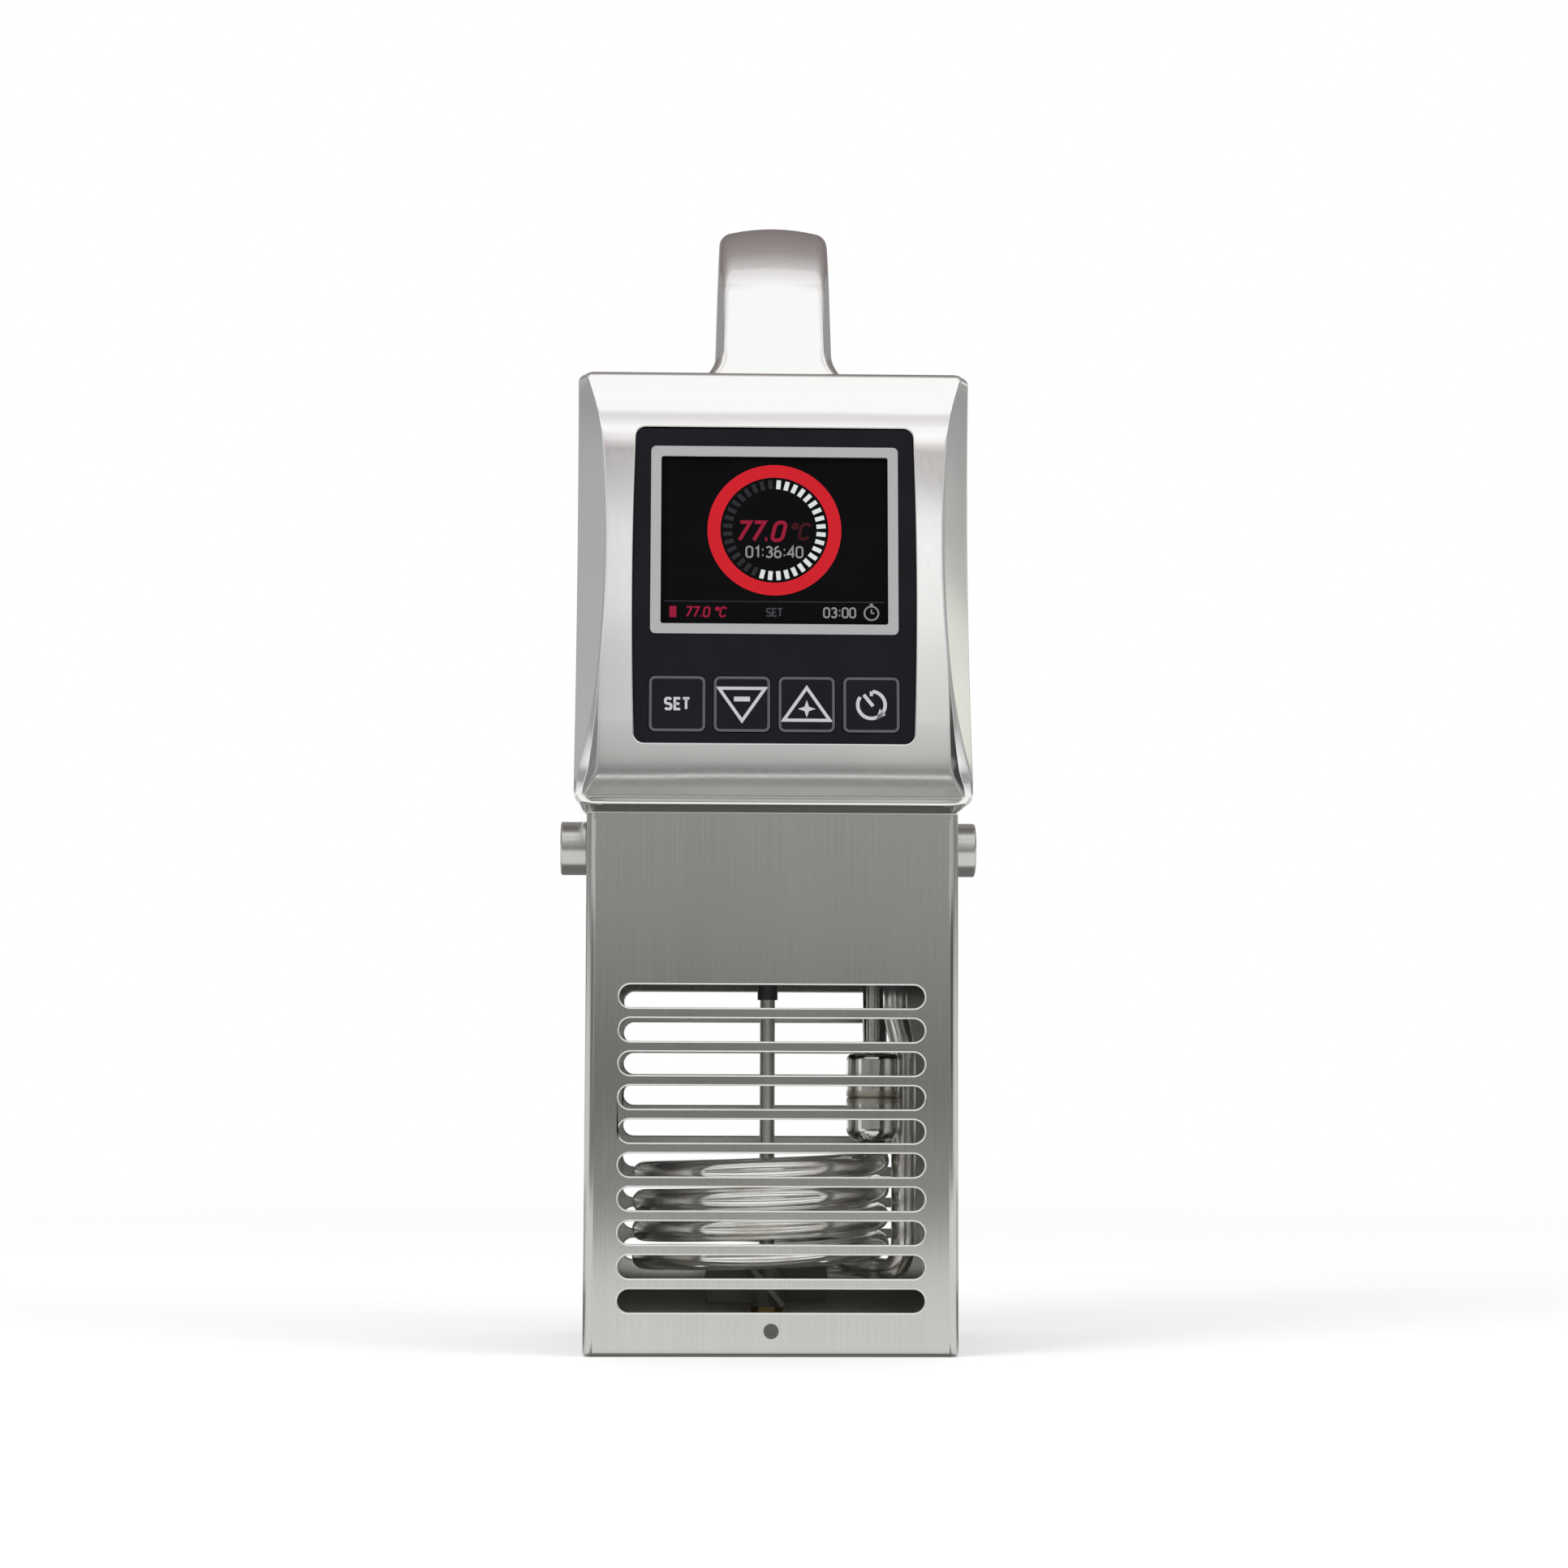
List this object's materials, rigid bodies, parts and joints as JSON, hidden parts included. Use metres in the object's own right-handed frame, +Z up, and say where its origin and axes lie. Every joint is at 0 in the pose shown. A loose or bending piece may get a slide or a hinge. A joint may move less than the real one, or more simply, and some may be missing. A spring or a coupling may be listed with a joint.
{
  "type": "sous vide circulator",
  "caption": "Sous vide circulator with a polished steel head, display and keys, carry handle, slotted steel guard round coil and stirrer, and a rear tank clamp.",
  "frame": {"origin": "middle of the guard's foot, on the stirrer's axis", "axes": "+Z up along the stirrer's axis, -Y to the front with the display, +X to the viewer's right"},
  "size_m": [0.1364, 0.1849, 0.3622],
  "materials": {
    "polished_steel": "mirror polished casting",
    "brushed_guard": "brushed vertical grain",
    "bright_steel": "machined bright",
    "heater_steel": "satin drawn tube",
    "sheet_steel": "satin sheet",
    "panel_black": "smooth satin black",
    "key_black": "satin black with pale outline",
    "display_frame": "silver paint, satin",
    "display_glass": "clear black display window with lit figures",
    "display_body": "moulded display module",
    "board_green": "coated circuit board",
    "component_black": "moulded electronic parts",
    "motor_body": "black enamel",
    "cast_aluminium": "as cast, machined faces",
    "brass_nut": "turned brass",
    "seal_rubber": "black rubber",
    "impeller_plastic": "dark moulded plastic",
    "knob_plastic": "black moulded grip",
    "gland_plastic": "black moulded gland"
  },
  "bodies": {
    "head": {"head_shell": "polished_steel", "handle": "polished_steel", "handle_screws": "bright_steel", "rear_cover": "sheet_steel", "rear_cover_gasket": "seal_rubber", "rear_cover_screws": "bright_steel", "panel_plate": "panel_black", "display_bezel": "display_frame", "display_window": "display_glass", "display_module": "display_body", "control_board": "board_green", "tact_switches": "component_black", "board_screws": "bright_steel", "base_plate": "sheet_steel", "base_gasket": "seal_rubber", "base_plate_screws": "bright_steel", "power_board": "board_green", "power_parts": "component_black", "board_brackets": "sheet_steel", "motor_mount": "cast_aluminium", "motor_case": "motor_body", "motor_stator": "motor_body", "motor_screws": "bright_steel", "shaft_bearing": "bright_steel", "shaft_seal": "seal_rubber", "shaft_sleeve": "impeller_plastic", "heater_coil": "heater_steel", "heater_glands": "brass_nut", "temperature_probe": "heater_steel", "probe_gland": "brass_nut", "float_stem": "bright_steel", "float_stops": "impeller_plastic", "mounting_collar": "sheet_steel", "knob_bushes": "bright_steel", "clamp_bracket": "sheet_steel", "clamp_bracket_screws": "bright_steel", "clamp_bush": "brass_nut", "gland_body": "gland_plastic", "gland_cap": "gland_plastic", "gland_seal": "seal_rubber"},
    "set_key": {"key_set": "key_black"},
    "down_key": {"key_down": "key_black"},
    "up_key": {"key_up": "key_black"},
    "timer_key": {"key_timer": "key_black"},
    "agitator": {"agitator_shaft": "bright_steel", "motor_rotor": "bright_steel", "impeller": "impeller_plastic", "impeller_nut": "brass_nut"},
    "float": {"level_float": "bright_steel"},
    "guard": {"guard_shell": "brushed_guard", "guard_bottom": "brushed_guard", "guard_screws": "bright_steel"},
    "left_washer": {"left_washer": "bright_steel"},
    "left_knob": {"left_knob": "bright_steel"},
    "right_washer": {"right_washer": "bright_steel"},
    "right_knob": {"right_knob": "bright_steel"},
    "clamp_pad": {"clamp_pad": "seal_rubber"},
    "clamp_screw": {"clamp_spindle": "bright_steel", "clamp_knob": "knob_plastic"}
  },
  "joints": [
    {"name": "set_key_press", "type": "slide", "parent": "head", "child": "set_key", "axis": [0, 0.9962, -0.0872], "range_m": [0, 0.0005], "stiffness_N_per_m": 800},
    {"name": "down_key_press", "type": "slide", "parent": "head", "child": "down_key", "axis": [0, 0.9962, -0.0872], "range_m": [0, 0.0005], "stiffness_N_per_m": 800},
    {"name": "up_key_press", "type": "slide", "parent": "head", "child": "up_key", "axis": [0, 0.9962, -0.0872], "range_m": [0, 0.0005], "stiffness_N_per_m": 800},
    {"name": "timer_key_press", "type": "slide", "parent": "head", "child": "timer_key", "axis": [0, 0.9962, -0.0872], "range_m": [0, 0.0005], "stiffness_N_per_m": 800},
    {"name": "agitator_spin", "type": "hinge", "parent": "head", "child": "agitator", "pos_m": [0, 0, 0.1], "axis": [0, 0, 1], "continuous": true},
    {"name": "float_rise", "type": "slide", "parent": "head", "child": "float", "axis": [0, 0, 1], "range_m": [0, 0.0115]},
    {"name": "guard_lift_off", "type": "slide", "parent": "head", "child": "guard", "axis": [0, 0, 1], "range_m": [-0.175, 0]},
    {"name": "left_washer_slide", "type": "slide", "parent": "head", "child": "left_washer", "axis": [-1, 0, 0], "range_m": [0, 0.006]},
    {"name": "left_knob_turn", "type": "hinge", "parent": "left_washer", "child": "left_knob", "pos_m": [-0.0595, 0, 0.1611], "axis": [-1, 0, 0], "range_deg": [0, 2160]},
    {"name": "right_washer_slide", "type": "slide", "parent": "head", "child": "right_washer", "axis": [1, 0, 0], "range_m": [0, 0.006]},
    {"name": "right_knob_turn", "type": "hinge", "parent": "right_washer", "child": "right_knob", "pos_m": [0.0595, 0, 0.1611], "axis": [1, 0, 0], "range_deg": [0, 2160]},
    {"name": "clamp_pad_slide", "type": "slide", "parent": "head", "child": "clamp_pad", "axis": [0, 1, 0], "range_m": [-0.01, 0.008]},
    {"name": "clamp_screw_turn", "type": "hinge", "parent": "clamp_pad", "child": "clamp_screw", "pos_m": [0, 0.08, 0.1442], "axis": [0, 1, 0], "range_deg": [-1200, 960]}
  ],
  "couplings": [
    {"joint": "left_washer_slide", "follows": "left_knob_turn", "m_per_rad": 0.00015915},
    {"joint": "right_washer_slide", "follows": "right_knob_turn", "m_per_rad": 0.00015915},
    {"joint": "clamp_pad_slide", "follows": "clamp_screw_turn", "m_per_rad": 0.00047746}
  ]
}
